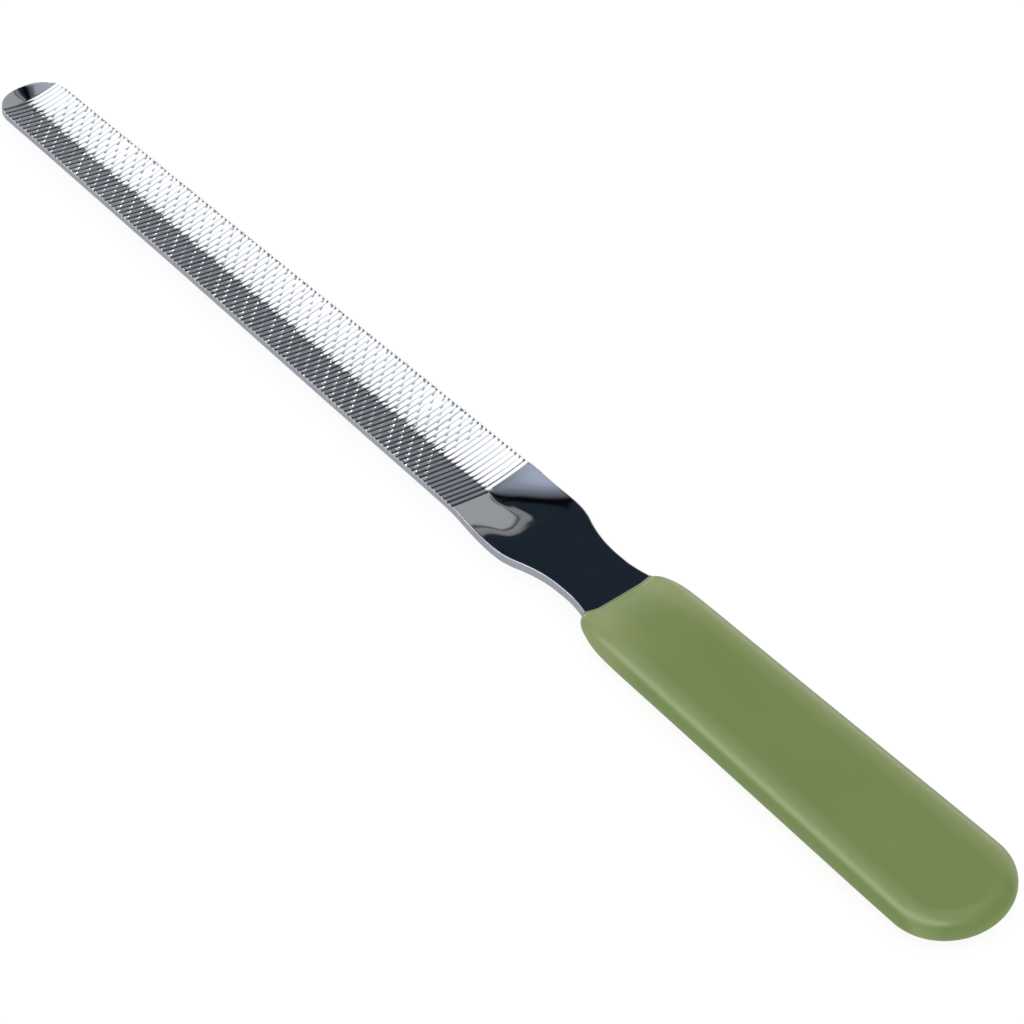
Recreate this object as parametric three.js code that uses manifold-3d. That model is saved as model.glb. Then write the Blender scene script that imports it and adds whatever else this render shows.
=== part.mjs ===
// Pet nail file: a bent steel blank with cross-cut teeth and a dip-moulded soft grip.
//
// Frame: millimetres, +X toward the tip of the blade, +Z up out of the toothed face,
// origin under the middle of the whole length, on the plane the grip's flat underside rests on.
//
// Stations are measured along the file from the first tooth at the tip end (station 0)
// toward the butt of the grip, and turned into X by xAt().

import * as THREE from 'three';
import Module from 'manifold-3d';

// ---------------------------------------------------------------- ends of the file (mm)
const TIP_STATION = -3.65;      // front of the rounded tip
const BUTT_STATION = 197.6;     // rear of the grip

// ---------------------------------------------------------------- teeth
const TOOTH_PITCH = 0.8467;     // 30 teeth per inch
const TOOTH_COUNT = 120;
const TOOTH_DEPTH = 0.30;
const TOOTH_CREST = 0.42;       // where in one pitch the crest stands
const TOOTH_END_RUN = 0.12;     // length of the steep face that closes each end of the teeth

// ---------------------------------------------------------------- blade and neck
const TIP_CENTRE = 1.35;        // the tip is half an ellipse about this station
const TIP_REACH = TIP_CENTRE - TIP_STATION;
const TIP_HALF_WIDTH = 5.34;

const EDGE_Z = 3.95;            // top of the blade's raised edges above the resting plane
const BLADE_SIDE = 1.25;        // height of the blade's side faces
const NECK_DROP = 0.65;         // flat neck top below the blade's edges
const NECK_THICK = 1.42;
const NECK_TOP = EDGE_Z - NECK_DROP;
const NECK_BOTTOM = NECK_TOP - NECK_THICK;
const CHANNEL_END = 101.6;      // the channel starts to run out here
const NECK_START = 110.5;       // the blank has its full neck thickness from here

// how far the middle of the channel lies below its edges
const SAG_TIP = 0.93;
const SAG_HEEL = 1.21;
const SAG_RUNOUT = 1.35;
const SAG_TIP_LOSS = 0.15;      // share of the sag missing at the very tip

// the two flanks of the channel meet in a crease a little to the +Y side of the middle
const CREASE_Y = 0.35;
const CREASE_TIP_SHIFT = 1.3;   // at the very tip the crease swings this far toward -Y
// softness of the crease, as a share of the half width
const CREASE_SOFT = 0.035;
const CREASE_SOFT_TIP = 0.10;   // added at the tip
const CREASE_SOFT_RUNOUT = 0.371;
// half width of the band in which one flank's shape turns into the other's
const FLANK_BAND = 0.02;
const FLANK_BAND_RUNOUT = 0.9;  // added in the run-out

const RUN_LENGTH = 10.59;       // length over which the crease climbs to the neck
const RUN_LENGTH_MIN = 1.5;
const RUN_EDGE_FROM = 0.55;     // share of the flank beyond which startEdge acts

// Each flank is part straight and part parabola: `straight` is the straight share along the blade,
// `straightRunout` in the run-out. The run-out starts later by startRise * rise
// + startSquare * across^2 + startEdge near the edge, and is longer by lengthRise * rise.
const FLANK_MINUS_Y = {
  straight: 0.50, straightRunout: 0,
  startRise: 5.853, startSquare: -0.53, startEdge: 0, lengthRise: -6.0,
};
const FLANK_PLUS_Y = {
  straight: 0.90, straightRunout: 1.2,
  startRise: 4.446, startSquare: -5.0, startEdge: 2.2, lengthRise: -1.365,
};

// gradual changes along the blank: [start station, length]
const CREASE_SWING = [-3.6, 4.4];              // crease swings in from its place at the tip
const FLANK_STRAIGHTEN = [-2.6, 4.4];          // flanks gain their straight share
const CREASE_SHARPEN = [1, 6];                 // crease loses its extra softness at the tip
const TIP_DEEPEN = [TIP_STATION, TIP_REACH];   // channel gains its full sag
const EDGE_DROP = [99.5, 10.41];               // raised edges come down to the neck
const FLANK_CHANGE = [CHANNEL_END, 2.4];       // section takes its run-out shape
const RUNOUT_DEEPEN = [CHANNEL_END, 3.4];      // sag changes to SAG_RUNOUT
const COLUMN_CENTRE = [CHANNEL_END, 10];       // mesh columns move from the crease to the middle
const THICKEN = [CHANNEL_END, NECK_START - CHANNEL_END];

// ---------------------------------------------------------------- tang, hidden in the grip
const TANG_END_CENTRE = 188.2;  // its rear is half an ellipse about this station
const TANG_END_REACH = 7.4;
const TANG_HALF_WIDTH = 8.15;
const TANG_GAP = 0.20;          // clearance between tang and grip pocket
const TANG_LEAN = 0.0098;       // tang and grip lean this much toward +Y per mm behind the lip

// ---------------------------------------------------------------- grip
const LIP_STATION = 127.2;      // front of the grip
const GRIP_END_CENTRE = 189.2;  // its rear is half an ellipse about this station
const GRIP_END_HALF = 9.66;
const GRIP_TOP = 4.60;          // highest flat of the grip above the resting plane
const GRIP_EDGE_ROUND = 3.1;    // sideways reach of the rounded grip edges
const LIP_EDGE_ROUND = 0.45;    // the same at the front lip
const LIP_WALL = 0.28;          // wall above and below the pocket at the front lip
const GRIP_RAMP = 8.5;          // length over which the coat swells to full thickness
const SWELL_POWER = 0.8;        // below 1 the coat swells faster at the lip
const GRIP_EDGE_STEPS = 6;      // steps from mid height to the top, and to the underside

// ---------------------------------------------------------------- outlines: [station, half width]
const BLANK_OUTLINE = [
  [TIP_CENTRE, TIP_HALF_WIDTH], [5, 5.36], [16, 5.50], [29, 5.72], [42, 5.92], [52, 6.11],
  [64, 6.36], [76, 6.61], [87.5, 6.81], [97, 6.97], [101, 7.07], [105, 7.28], [108, 7.41],
  [110, 7.45], [111.5, 7.37], [113.3, 6.98], [115.2, 6.25], [117, 5.70], [119, 5.31], [121, 5.16],
  [123, 5.15], [124.5, 5.31], [126.5, 5.72], [128.5, 6.30], [130.5, 6.82], [133, 7.08],
  [136, 7.18], [TANG_END_CENTRE, TANG_HALF_WIDTH],
];
const GRIP_OUTLINE = [
  [LIP_STATION, 6.02], [127.7, 6.78], [128.5, 7.45], [130.3, 8.12], [132.2, 8.42], [135.6, 8.58],
  [142.7, 8.72], [155, 8.97], [168.7, 9.27], [185, 9.61], [GRIP_END_CENTRE, GRIP_END_HALF],
];

// ---------------------------------------------------------------- mesh rows
const BLANK_COLUMNS = 8;
const FRONT_OF_TEETH = -0.35;   // uncut row just ahead of the first tooth
// angles round the end ellipses of the blank, from the long axis
const TIP_ANGLES = [0.32, 0.62, 0.90, 1.12];
const TANG_ANGLES = [1.25, 0.95, 0.65, 0.34];
// stations
const BLADE_BOTTOM_ROWS = [0, TIP_CENTRE, 5, 16, 29, 42, 52, 64, 76, 87.5, 97, CHANNEL_END];
const NECK_ROWS = [
  103.6, 105.4, 107.2, 109, NECK_START, 111.5, 112.4, 113.3, 114.2, 115.2, 116.1, 117, 118, 119,
  120, 121, 122.2, 123.4, 124.5, 125.5, 126.5, 127.5, 128.5, 129.5, 130.5, 131.7, 133, 136, 149,
  162, 175, TANG_END_CENTRE,
];
const GRIP_ROWS = [
  LIP_STATION, 127.45, 127.8, 128.3, 129, 130, 131.2, 132.6, 134.2, 136, 140, 148, 158, 168, 178,
  185,
];
const POCKET_ROWS = [126.4, 127.5, 128.5, 129.5, 130.5, 131.7, 133, 136, 149, 162, 175];
// angles round the end ellipses of the grip and its pocket, from the widest place to the rear
const GRIP_END_ANGLES = [0, 0.22, 0.44, 0.66, 0.88, 1.08, 1.26, 1.42, Math.PI / 2];
const POCKET_END_ANGLES = [0, 0.32, 0.62, 0.92, 1.23, Math.PI / 2];

// ---------------------------------------------------------------- helpers
const X_CENTRE = (TIP_STATION + BUTT_STATION) / 2;
const xAt = (station) => X_CENTRE - station;
const leanAt = (station) => TANG_LEAN * Math.max(0, station - LIP_STATION);

const mix = (from, to, share) => from + (to - from) * share;
const clamp01 = (value) => Math.min(1, Math.max(0, value));
const smooth = (value) => {
  const share = clamp01(value);
  return share * share * (3 - 2 * share);
};
const ramp = (station, [start, length]) => smooth((station - start) / length);

// monotone cubic through a table of [station, value], held level beyond its ends
function monotone(table) {
  const last = table.length - 1;
  const spans = [];
  const slopes = [];
  for (let i = 0; i < last; i++) {
    spans.push(table[i + 1][0] - table[i][0]);
    slopes.push((table[i + 1][1] - table[i][1]) / spans[i]);
  }
  const tangents = new Array(table.length).fill(0);
  tangents[0] = slopes[0];
  tangents[last] = slopes[last - 1];
  for (let i = 1; i < last; i++) {
    if (slopes[i - 1] * slopes[i] > 0) {
      const before = 2 * spans[i] + spans[i - 1];
      const after = spans[i] + 2 * spans[i - 1];
      tangents[i] = (before + after) / (before / slopes[i - 1] + after / slopes[i]);
    }
  }
  return (station) => {
    if (station <= table[0][0]) return table[0][1];
    if (station >= table[last][0]) return table[last][1];
    let i = 0;
    while (station > table[i + 1][0]) i++;
    const t = (station - table[i][0]) / spans[i];
    const t2 = t * t;
    const t3 = t2 * t;
    return (2 * t3 - 3 * t2 + 1) * table[i][1]
      + (t3 - 2 * t2 + t) * spans[i] * tangents[i]
      + (-2 * t3 + 3 * t2) * table[i + 1][1]
      + (t3 - t2) * spans[i] * tangents[i + 1];
  };
}

const blankHalf = monotone(BLANK_OUTLINE);
const gripHalf = monotone(GRIP_OUTLINE);

function geometryFrom(positions, indices) {
  const geometry = new THREE.BufferGeometry();
  geometry.setAttribute('position', new THREE.Float32BufferAttribute(positions, 3));
  geometry.setIndex(new THREE.Uint32BufferAttribute(indices, 1));
  geometry.computeVertexNormals();
  return geometry;
}

// ---------------------------------------------------------------- shape of the blank
// half width of the blank, with its elliptical ends
function blankWidth(station) {
  const ellipse = (half, offset) => half * Math.sqrt(Math.max(0, 1 - offset ** 2));
  if (station < TIP_CENTRE) {
    return ellipse(TIP_HALF_WIDTH, (station - TIP_CENTRE) / TIP_REACH);
  }
  if (station > TANG_END_CENTRE) {
    return ellipse(TANG_HALF_WIDTH, (station - TANG_END_CENTRE) / TANG_END_REACH);
  }
  return blankHalf(station);
}

const blankThickness = (station) => mix(BLADE_SIDE, NECK_THICK, ramp(station, THICKEN));

// Height of the blank's top face without its teeth, y mm off the centre line: a shallow channel
// with a soft crease, which runs out into the flat neck, starting later at the -Y edge.
function blankTopAt(station, y) {
  const half = blankHalf(station);
  const crease = CREASE_Y - CREASE_TIP_SHIFT * (1 - ramp(station, CREASE_SWING));
  // 0 on the crease, 1 at the edge
  const across = y > crease ? (y - crease) / (half - crease) : (crease - y) / (half + crease);
  const square = across * across;

  const runout = ramp(station, FLANK_CHANGE);
  const band = FLANK_BAND + FLANK_BAND_RUNOUT * runout;
  const plusShare = smooth((y - crease + band) / (2 * band));
  const flank = (key) => mix(FLANK_MINUS_Y[key], FLANK_PLUS_Y[key], plusShare);

  const bladeSoft = CREASE_SOFT + CREASE_SOFT_TIP * (1 - ramp(station, CREASE_SHARPEN));
  const soft = mix(bladeSoft, CREASE_SOFT_RUNOUT, runout);
  const riseAt = (squared) => Math.sqrt(squared + soft * soft) - soft;
  const rise = riseAt(square);
  const straight = mix(flank('straight'), flank('straightRunout'), runout)
    * ramp(station, FLANK_STRAIGHTEN);
  const depth = 1 - (straight * rise / riseAt(1) + (1 - straight) * square);

  const edgeShare = clamp01((across - RUN_EDGE_FROM) / (1 - RUN_EDGE_FROM)) ** 2;
  const runStart = CHANNEL_END + flank('startRise') * rise + flank('startSquare') * square
    + flank('startEdge') * edgeShare;
  const runLength = Math.max(RUN_LENGTH_MIN, RUN_LENGTH + flank('lengthRise') * rise);
  const run = ramp(station, [runStart, runLength]);

  const bladeSag = mix(SAG_TIP, SAG_HEEL, clamp01(station / CHANNEL_END));
  const sag = mix(bladeSag, SAG_RUNOUT, ramp(station, RUNOUT_DEEPEN))
    * (1 - SAG_TIP_LOSS * (1 - ramp(station, TIP_DEEPEN)));
  const edgeDrop = NECK_DROP * ramp(station, EDGE_DROP);
  return EDGE_Z - NECK_DROP * run - (sag * depth + edgeDrop * (1 - depth)) * (1 - run);
}

// y of mesh column v, which runs from -1 to 1 and is 0 on the middle column
function acrossAt(station, v) {
  const width = blankWidth(station);
  const middle = Math.min(CREASE_Y, 0.5 * width) * (1 - ramp(station, COLUMN_CENTRE));
  return middle + v * (v > 0 ? width - middle : width + middle);
}

// ---------------------------------------------------------------- steel blank with teeth
// rows of the toothed stretch: [station, depth of cut]
function toothRows() {
  const end = TOOTH_COUNT * TOOTH_PITCH;
  const rows = [[FRONT_OF_TEETH, 0], [0, 0], [TOOTH_END_RUN, TOOTH_DEPTH]];
  for (let k = 0; k < TOOTH_COUNT; k++) {
    const start = k * TOOTH_PITCH;
    if (k > 0) rows.push([start, TOOTH_DEPTH]);
    rows.push([start + TOOTH_PITCH * TOOTH_CREST, 0]);
  }
  rows.push([end - TOOTH_END_RUN, TOOTH_DEPTH], [end, 0]);
  return rows;
}

function buildBlank() {
  const points = [];
  const faces = [];
  const addPoint = (x, y, z) => points.push([x, y, z]) - 1;
  const addFace = (a, b, c, flip) => faces.push(flip ? [a, c, b] : [a, b, c]);

  // a row of points across the blank, `below` mm under its uncut top face
  const addRow = (station, below) => {
    const row = [];
    for (let j = 0; j <= BLANK_COLUMNS; j++) {
      const y = acrossAt(station, -1 + 2 * j / BLANK_COLUMNS);
      row.push(addPoint(xAt(station), y + leanAt(station), blankTopAt(station, y) - below));
    }
    return row;
  };

  // the top is fine along the teeth; everything else is coarse
  const tip = TIP_ANGLES.map((angle) => TIP_CENTRE - TIP_REACH * Math.cos(angle));
  const tangEnd = TANG_ANGLES.map((angle) => TANG_END_CENTRE + TANG_END_REACH * Math.cos(angle));
  const uncut = (station) => [station, 0];
  const top = [...tip.map(uncut), ...toothRows(), ...[...NECK_ROWS, ...tangEnd].map(uncut)]
    .map(([station, cut]) => addRow(station, cut));
  const bottom = [...tip, ...BLADE_BOTTOM_ROWS, ...NECK_ROWS, ...tangEnd]
    .map((station) => addRow(station, blankThickness(station)));

  // rows run toward -X
  const addSheet = (rows, flip) => {
    for (let i = 0; i < rows.length - 1; i++) {
      for (let j = 0; j < BLANK_COLUMNS; j++) {
        addFace(rows[i][j], rows[i][j + 1], rows[i + 1][j + 1], flip);
        addFace(rows[i][j], rows[i + 1][j + 1], rows[i + 1][j], flip);
      }
    }
  };
  addSheet(top, false);
  addSheet(bottom, true);

  // side face in one column: zips the fine top edge to the coarse bottom edge
  const addSide = (column, flip) => {
    const upper = top.map((row) => row[column]);
    const lower = bottom.map((row) => row[column]);
    let i = 0;
    let k = 0;
    while (i < upper.length - 1 || k < lower.length - 1) {
      const nextUpper = i < upper.length - 1 && (k === lower.length - 1
        || points[upper[i + 1]][0] >= points[lower[k + 1]][0]);
      addFace(upper[i], nextUpper ? upper[i + 1] : lower[k + 1], lower[k], flip);
      if (nextUpper) i++;
      else k++;
    }
  };
  addSide(BLANK_COLUMNS, true);
  addSide(0, false);

  // each rounded end closes on one upright edge
  const closeEnd = (station, topRow, bottomRow, flip) => {
    const z = blankTopAt(station, 0);
    const high = addPoint(xAt(station), leanAt(station), z);
    const low = addPoint(xAt(station), leanAt(station), z - blankThickness(station));
    for (let j = 0; j < BLANK_COLUMNS; j++) {
      addFace(high, topRow[j + 1], topRow[j], flip);
      addFace(low, bottomRow[j], bottomRow[j + 1], flip);
    }
    addFace(high, topRow[0], low, flip);
    addFace(low, topRow[0], bottomRow[0], flip);
    addFace(high, low, topRow[BLANK_COLUMNS], flip);
    addFace(low, bottomRow[BLANK_COLUMNS], topRow[BLANK_COLUMNS], flip);
  };
  closeEnd(TIP_STATION, top[0], bottom[0], false);
  closeEnd(TANG_END_CENTRE + TANG_END_REACH, top.at(-1), bottom.at(-1), true);

  return geometryFrom(points.flat(), faces.flat());
}

// ---------------------------------------------------------------- dipped grip
// An outline place is { station, half, along, out }: its half width, and the parts of its outward
// normal along the file and sideways.
const offsetPlace = ({ station, half, along, out }, distance) => (
  { station: station + along * distance, half: half + out * distance, along, out });

// quarter of an ellipse, from its widest place to the rear
function endPlaces(centre, reach, halfWidth, angles) {
  return angles.map((angle) => {
    const along = Math.sin(angle) / reach;
    const out = Math.cos(angle) / halfWidth;
    const length = Math.hypot(along, out);
    return {
      station: centre + reach * Math.sin(angle),
      half: halfWidth * Math.cos(angle),
      along: along / length,
      out: out / length,
    };
  });
}

// A solid symmetric about the leaning centre line. ringAt(place) gives the +Y half of a section
// as [station, y, z] from the underside to the top; the other half is its mirror image. The front
// is closed by a flat face, and at the rear both halves meet on the centre line.
function buildSlab(wasm, places, ringAt) {
  const points = [];
  const faces = [];
  const addPoint = (station, y, z) => points.push([xAt(station), y + leanAt(station), z]) - 1;
  const rings = places.map((place, i) => {
    const section = ringAt(place);
    if (i === places.length - 1) {
      const shared = section.map(([station, , z]) => addPoint(station, 0, z));
      return { plus: shared, minus: shared };
    }
    return {
      plus: section.map(([station, y, z]) => addPoint(station, y, z)),
      minus: section.map(([station, y, z]) => addPoint(station, -y, z)),
    };
  });
  // faces with a repeated corner, at the rear, are left out
  const addFace = (a, b, c) => {
    if (a !== b && b !== c && a !== c) faces.push([a, c, b]);
  };
  const addQuad = (a, b, c, d) => {
    addFace(a, b, c);
    addFace(a, c, d);
  };

  const last = rings[0].plus.length - 1;
  for (let i = 0; i < rings.length - 1; i++) {
    const ring = rings[i];
    const next = rings[i + 1];
    for (let j = 0; j < last; j++) {
      addQuad(ring.plus[j], ring.plus[j + 1], next.plus[j + 1], next.plus[j]);
      addQuad(ring.minus[j], next.minus[j], next.minus[j + 1], ring.minus[j + 1]);
    }
    // flat strips across the top and the underside
    addQuad(ring.minus[last], next.minus[last], next.plus[last], ring.plus[last]);
    addQuad(ring.minus[0], ring.plus[0], next.plus[0], next.minus[0]);
  }
  const { plus, minus } = rings[0];
  for (let j = 0; j < last; j++) addQuad(minus[j], minus[j + 1], plus[j + 1], plus[j]);

  return new wasm.Manifold(new wasm.Mesh({
    numProp: 3,
    vertProperties: new Float32Array(points.flat()),
    triVerts: new Uint32Array(faces.flat()),
  }));
}

// half section of the grip with a rounded edge, swelling from the lip to full thickness
function gripRing(place) {
  const travel = clamp01((place.station - LIP_STATION) / GRIP_RAMP);
  const swell = Math.pow(smooth(travel * 0.5 + 0.5) * 2 - 1, SWELL_POWER);
  const top = mix(NECK_TOP + TANG_GAP + LIP_WALL, GRIP_TOP, swell);
  const bottom = mix(NECK_BOTTOM - TANG_GAP - LIP_WALL, 0, swell);
  const middle = (top + bottom) / 2;
  const reach = mix(LIP_EDGE_ROUND, GRIP_EDGE_ROUND, swell);
  const section = [];
  for (let k = -GRIP_EDGE_STEPS; k <= GRIP_EDGE_STEPS; k++) {
    const angle = (k / GRIP_EDGE_STEPS) * Math.PI / 2;
    const { station, half } = offsetPlace(place, -reach * (1 - Math.cos(angle)));
    section.push([station, Math.max(0, half), middle + (top - middle) * Math.sin(angle)]);
  }
  return section;
}

function buildGripBody(wasm) {
  const rows = GRIP_ROWS.map((station) => (
    { station, half: gripHalf(station), along: 0, out: 1 }));
  const reach = BUTT_STATION - GRIP_END_CENTRE;
  const end = endPlaces(GRIP_END_CENTRE, reach, GRIP_END_HALF, GRIP_END_ANGLES);
  return buildSlab(wasm, [...rows, ...end], gripRing);
}

// pocket: the tang's outline and thickness with a clearance all round
function buildPocket(wasm) {
  const step = 0.05;   // half the span over which the outline's slope is taken
  const rows = POCKET_ROWS.map((station) => {
    const slope = (blankHalf(station + step) - blankHalf(station - step)) / (2 * step);
    const length = Math.hypot(1, slope);
    return { station, half: blankHalf(station), along: -slope / length, out: 1 / length };
  });
  const end = endPlaces(TANG_END_CENTRE, TANG_END_REACH, TANG_HALF_WIDTH, POCKET_END_ANGLES);
  const places = [...rows, ...end].map((place) => offsetPlace(place, TANG_GAP));
  return buildSlab(wasm, places, ({ station, half }) => [
    [station, half, NECK_BOTTOM - TANG_GAP],
    [station, half, NECK_TOP + TANG_GAP],
  ]);
}

function buildGrip(wasm) {
  const mesh = buildGripBody(wasm).subtract(buildPocket(wasm)).getMesh();
  return geometryFrom(mesh.vertProperties, mesh.triVerts);
}

// ---------------------------------------------------------------- assembly
const wasm = await Module();
wasm.setup();

const platedSteel = new THREE.MeshStandardMaterial({
  color: 0xc9ccd0, metalness: 1.0, roughness: 0.16,
});
const softVinyl = new THREE.MeshStandardMaterial({
  color: 0x7a9156, metalness: 0.0, roughness: 0.35,
});

const file = new THREE.Group();

function addPiece(name, geometry, material) {
  const piece = new THREE.Mesh(geometry, material);
  piece.name = name;
  file.add(piece);
}
addPiece('file_blank', buildBlank(), platedSteel);
addPiece('dipped_grip', buildGrip(wasm), softVinyl);

export default file;
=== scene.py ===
# A flat steel file, its tang covered by a soft dipped grip, lying toothed face up on a floor.
# It points along +X. Lengths are in mm and are scaled to metres when a mesh is made. A "station"
# is the distance back (-X) from the first full tooth. Y runs across: +Y is near the camera.
import bmesh
import bpy
import math
import numpy as np
from mathutils import Matrix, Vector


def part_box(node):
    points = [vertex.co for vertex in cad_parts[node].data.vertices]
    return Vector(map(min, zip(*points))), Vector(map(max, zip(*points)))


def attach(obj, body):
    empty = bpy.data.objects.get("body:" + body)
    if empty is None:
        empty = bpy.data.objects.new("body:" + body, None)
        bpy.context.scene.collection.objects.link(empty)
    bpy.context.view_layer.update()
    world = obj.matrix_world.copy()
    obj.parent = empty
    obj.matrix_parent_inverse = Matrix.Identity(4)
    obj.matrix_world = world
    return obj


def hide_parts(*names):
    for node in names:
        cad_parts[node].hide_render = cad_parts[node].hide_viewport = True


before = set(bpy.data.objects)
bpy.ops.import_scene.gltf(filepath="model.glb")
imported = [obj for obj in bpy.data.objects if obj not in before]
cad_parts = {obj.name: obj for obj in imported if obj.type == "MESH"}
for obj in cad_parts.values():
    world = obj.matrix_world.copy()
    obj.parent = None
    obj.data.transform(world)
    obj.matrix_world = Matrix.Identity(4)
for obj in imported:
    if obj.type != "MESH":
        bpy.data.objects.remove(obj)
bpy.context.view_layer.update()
_, blank_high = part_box("file_blank")
_, grip_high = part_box("dipped_grip")

# ------------------------------------------------------------------ dimensions
# elliptical ends: station of the centre, reach along the file, half width
TIP_CENTRE, TIP_REACH, TIP_HALF = 1.35, 5.0, 5.34
TANG_CENTRE, TANG_REACH, TANG_HALF = 188.2, 7.4, 8.15
GRIP_CENTRE, GRIP_HALF = 189.2, 9.66
TIP = TIP_CENTRE - TIP_REACH
BUTT = 197.6
LIP = 127.2                                   # front edge of the grip
X_ORIGIN = blank_high.x * 1000.0 + TIP        # x of station 0

PITCH, TEETH = 0.8467, 120
CUT_END = PITCH * TEETH
LEAD_IN = 0.60                                # a part tooth stands before the first crest

EDGE_Z = blank_high.z * 1000.0
BLADE_THICK, NECK_THICK, NECK_DROP = 1.25, 1.42, 0.65
SAG_TIP, SAG_HEEL, SAG_NECK = 0.93, 1.21, 1.35    # depth of the channel in the top face
CHANNEL_END, NECK_START = 101.6, 110.5
CREASE = 0.35                                 # the channel's two flanks meet at this y
NECK_TOP = EDGE_Z - NECK_DROP
NECK_BOTTOM = NECK_TOP - NECK_THICK

GRIP_TOP = grip_high.z * 1000.0
GRIP_ROUND, LIP_ROUND = 3.1, 0.45             # how far in the side rounding reaches
GRIP_RAMP = 8.5                               # length over which the grip swells
LIP_HEIGHT, BEAD_LENGTH = 0.08, 0.10
LIP_BLEND = 2.6                               # the lip's uneven front fades out over this
GAP = 0.03                                    # clearance between tang and grip
LEAN = 0.0098                                 # tang and grip drift to +Y, mm per mm behind the lip

# station, half width
BLANK = np.array([
    [TIP_CENTRE, TIP_HALF], [5, 5.36], [16, 5.50], [29, 5.72], [42, 5.92], [52, 6.11],
    [64, 6.36], [76, 6.61], [87.5, 6.81], [97, 6.97], [101, 7.07], [105, 7.28], [108, 7.41],
    [110, 7.45], [111.5, 7.37], [113.3, 6.98], [115.2, 6.25], [117, 5.70], [119, 5.31],
    [121, 5.16], [123, 5.15], [124.5, 5.31], [126.5, 5.72], [128.5, 6.30], [130.5, 6.82],
    [133, 7.08], [136, 7.18], [TANG_CENTRE, TANG_HALF]])
GRIP = np.array([
    [LIP, 6.02], [127.7, 6.78], [128.5, 7.45], [130.3, 8.12], [132.2, 8.42], [135.6, 8.58],
    [142.7, 8.72], [155, 8.97], [168.7, 9.27], [185, 9.61], [GRIP_CENTRE, GRIP_HALF]])

# one tooth: part of the pitch, depth; a land leaning into a notch, then a steep face
TOOTH_PART = np.array([0.0, 0.10, 0.24, 0.40, 0.52, 0.61, 0.70, 0.79, 0.87, 0.94, 1.0])
TOOTH_DEPTH = np.array([0.0, 0.020, 0.050, 0.092, 0.135, 0.182, 0.242, 0.304, 0.304, 0.120, 0.0])
TIP_DEEPER = 0.18                             # teeth at station 0 are deeper by this part
FULL_CAP, LEAD_CAP = 0.60, 0.20               # greatest depths; the last two teeth are shallow
LAST_CAP, SECOND_LAST_CAP = 0.11, 0.20

# second, slanting cut
CROSS_STEP, CROSS_TAN, CROSS_PHASE, CROSS_DEPTH = PITCH * 7.0 / 3.0, 0.85, 0.40, 0.148

rng = np.random.default_rng(7)
TOOTH_VARY = 1.0 + 0.07 * rng.standard_normal(TEETH + 2)
rng.standard_normal(TEETH + 2)                # skipped draws: they fix the ones that follow
CROSS_VARY = 1.0 + 0.16 * rng.standard_normal(80)


# ------------------------------------------------------------------ curves
def x_at(station):
    return X_ORIGIN - station


def monotone(table):
    """Smooth curve through the table that never overshoots; held level past both ends."""
    xs, ys = table[:, 0], table[:, 1]
    gap, rise = np.diff(xs), np.diff(ys) / np.diff(xs)
    slope = np.zeros(len(xs))
    slope[0], slope[-1] = rise[0], rise[-1]
    for i in range(1, len(xs) - 1):
        if rise[i - 1] * rise[i] > 0:
            before, after = 2 * gap[i] + gap[i - 1], gap[i] + 2 * gap[i - 1]
            slope[i] = (before + after) / (before / rise[i - 1] + after / rise[i])

    def curve(x):
        x = np.clip(np.asarray(x, float), xs[0], xs[-1])
        i = np.clip(np.searchsorted(xs, x, side="right") - 1, 0, len(xs) - 2)
        part = (x - xs[i]) / gap[i]
        square, cube = part * part, part * part * part
        return ((2 * cube - 3 * square + 1) * ys[i]
                + (cube - 2 * square + part) * gap[i] * slope[i]
                + (-2 * cube + 3 * square) * ys[i + 1]
                + (cube - square) * gap[i] * slope[i + 1])
    return curve


blank_half = monotone(BLANK)
grip_half = monotone(GRIP)


def smooth(part):
    part = np.clip(part, 0.0, 1.0)
    return part * part * (3 - 2 * part)


def band(value, start, end):
    return smooth((value - start) / (end - start))


def lerp(start, end, part):
    return start + (end - start) * part


# ------------------------------------------------------------------ blade surface
def cut_zone(station):
    return band(station, 2.0, 9.0) * (1 - band(station, 90.0, 100.0))


def crease_at(station):
    """The crease swings to -Y at the tip and a little to +Y along the teeth."""
    return CREASE - 1.3 * smooth((0.8 - station) / 4.4) + 0.28 * cut_zone(station)


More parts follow.
